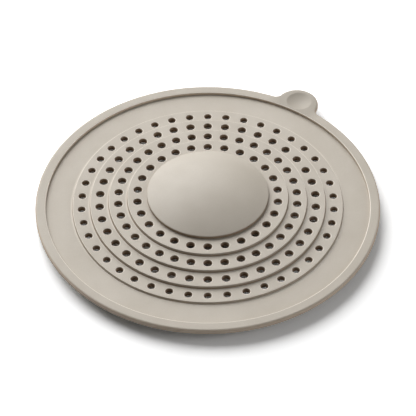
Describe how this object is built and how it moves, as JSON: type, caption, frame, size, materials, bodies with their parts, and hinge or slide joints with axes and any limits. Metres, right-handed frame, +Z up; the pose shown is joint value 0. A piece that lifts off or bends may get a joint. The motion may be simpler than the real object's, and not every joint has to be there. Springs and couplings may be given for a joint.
{
  "type": "drain hair catcher",
  "caption": "Round drain hair catcher: a stepped perforated plate under a blank dome cap, a soft rim band with a dimpled pull tab, and suction cups underneath.",
  "frame": {"origin": "the disc's centre, on the flat surface that the suction cups stand on", "axes": "+Z up through the dome, +Y towards the back of the picture, +X to the right; the pull tab points 57.4 degrees from +X towards +Y"},
  "size_m": [0.145, 0.1449, 0.0175],
  "materials": {
    "plate": "matte, fine-grained, soft-touch taupe",
    "band": "matte taupe silicone",
    "dome": "matte taupe, smooth, with a faint sheen",
    "cup": "smooth taupe silicone"
  },
  "bodies": {
    "disc": {"strainer_plate": "plate", "rim_band": "band", "dome_cap": "dome"},
    "tab": {"pull_tab": "band"},
    "cup_1": {"suction_cup_1": "cup"},
    "cup_2": {"suction_cup_2": "cup"},
    "cup_3": {"suction_cup_3": "cup"},
    "cup_4": {"suction_cup_4": "cup"}
  },
  "joints": [
    {"name": "tab_flex", "type": "hinge", "parent": "disc", "child": "tab", "pos_m": [0.03995, 0.06247, 0.00525], "axis": [0.8425, -0.5388, 0], "range_deg": [-20, 60], "stiffness_Nm_per_rad": 0.007},
    {"name": "cup_1_press", "type": "slide", "parent": "disc", "child": "cup_1", "axis": [0, 0, 1], "range_m": [0, 0.0008], "stiffness_N_per_m": 50, "springref_m": -0.0016, "deforming": ["suction_cup_1"]},
    {"name": "cup_2_press", "type": "slide", "parent": "disc", "child": "cup_2", "axis": [0, 0, 1], "range_m": [0, 0.0008], "stiffness_N_per_m": 50, "springref_m": -0.0016, "deforming": ["suction_cup_2"]},
    {"name": "cup_3_press", "type": "slide", "parent": "disc", "child": "cup_3", "axis": [0, 0, 1], "range_m": [0, 0.0008], "stiffness_N_per_m": 50, "springref_m": -0.0016, "deforming": ["suction_cup_3"]},
    {"name": "cup_4_press", "type": "slide", "parent": "disc", "child": "cup_4", "axis": [0, 0, 1], "range_m": [0, 0.0008], "stiffness_N_per_m": 50, "springref_m": -0.0016, "deforming": ["suction_cup_4"]}
  ]
}
